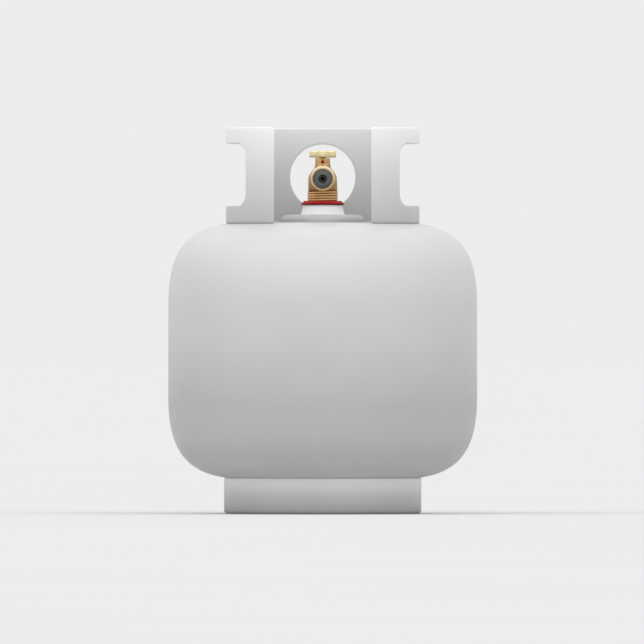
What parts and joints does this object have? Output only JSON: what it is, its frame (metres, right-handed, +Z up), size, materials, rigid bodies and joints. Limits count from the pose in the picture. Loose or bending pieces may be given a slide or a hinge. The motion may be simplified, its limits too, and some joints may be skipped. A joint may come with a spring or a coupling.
{
  "type": "propane tank",
  "caption": "Squat refillable propane tank: a two-piece steel vessel on a foot ring, with a cut-away carrying collar around a brass shut-off valve with a lobed handwheel.",
  "frame": {"origin": "on the floor, under the centre of the foot ring", "axes": "+Z up along the vessel's axis; -Y is the front, where the valve outlet and the collar's opening face; +X is the right as seen from the front"},
  "size_m": [0.311, 0.311, 0.3873],
  "materials": {
    "tank_paint": "satin powder coat",
    "collar_paint": "satin powder coat",
    "foot_ring_paint": "satin powder coat",
    "boss_paint": "satin white paint",
    "red_plastic": "semi-gloss",
    "valve_brass": "forged and machined",
    "pale_brass": "cast and tumbled",
    "seal_rubber": "matte",
    "check_plastic": "matte",
    "spring_steel": "drawn wire",
    "nylon": "matte",
    "cap_plastic": "matte",
    "copper": "drawn tube",
    "float_plastic": "matte"
  },
  "bodies": {
    "tank": {"lower_head": "tank_paint", "upper_head": "tank_paint", "girth_weld": "tank_paint", "foot_ring": "foot_ring_paint", "foot_ring_welds": "foot_ring_paint", "collar": "collar_paint", "collar_welds": "collar_paint", "boss_pad": "tank_paint", "boss_pad_weld": "tank_paint", "valve_boss": "boss_paint", "neck_ring": "red_plastic", "valve_body": "valve_brass", "outlet_seal": "seal_rubber", "check_spring": "spring_steel", "bonnet": "valve_brass", "stem_o_rings": "seal_rubber", "relief_spring": "spring_steel", "relief_adjuster": "valve_brass", "dip_tube": "copper", "float_housing": "nylon", "float_pin": "spring_steel"},
    "handwheel": {"handwheel": "pale_brass", "handwheel_screw": "spring_steel", "stem": "valve_brass"},
    "seat": {"seat_plug": "valve_brass", "seat_disc": "nylon"},
    "check": {"check_plunger": "check_plastic"},
    "relief": {"relief_poppet": "valve_brass", "relief_disc": "seal_rubber"},
    "relief_cap": {"relief_cap": "cap_plastic"},
    "bleed": {"bleed_screw": "red_plastic"},
    "float": {"float_arm": "float_plastic", "float": "float_plastic"},
    "float_poppet": {"float_poppet": "float_plastic"}
  },
  "joints": [
    {"name": "handwheel_turn", "type": "hinge", "parent": "tank", "child": "handwheel", "pos_m": [0, 0, 0.36], "axis": [0, 0, 1], "range_deg": [0, 540]},
    {"name": "seat_lift", "type": "slide", "parent": "handwheel", "child": "seat", "axis": [0, 0, 1], "range_m": [0, 0.003]},
    {"name": "check_press", "type": "slide", "parent": "tank", "child": "check", "axis": [0, 1, 0], "range_m": [0, 0.003], "stiffness_N_per_m": 300, "springref_m": -0.002, "deforming": ["check_spring"]},
    {"name": "relief_lift", "type": "slide", "parent": "tank", "child": "relief", "axis": [0, 1, 0], "range_m": [0, 0.002], "stiffness_N_per_m": 4000, "springref_m": -0.003, "deforming": ["relief_spring"]},
    {"name": "relief_cap_pull", "type": "slide", "parent": "tank", "child": "relief_cap", "axis": [0, 1, 0], "range_m": [0, 0.012]},
    {"name": "bleed_turn", "type": "hinge", "parent": "tank", "child": "bleed", "pos_m": [0, -0.008, 0.3529], "axis": [0, -1, 0], "range_deg": [0, 270]},
    {"name": "float_swing", "type": "hinge", "parent": "tank", "child": "float", "pos_m": [0, 0, 0.2588], "axis": [-1, 0, 0], "range_deg": [0, 55]},
    {"name": "float_poppet_lift", "type": "slide", "parent": "tank", "child": "float_poppet", "axis": [0, 0, 1], "range_m": [0, 0.0027]}
  ],
  "couplings": [
    {"joint": "seat_lift", "follows": "handwheel_turn", "m_per_rad": 0.000318},
    {"joint": "float_poppet_lift", "follows": "float_swing", "m_per_rad": 0.00281}
  ]
}
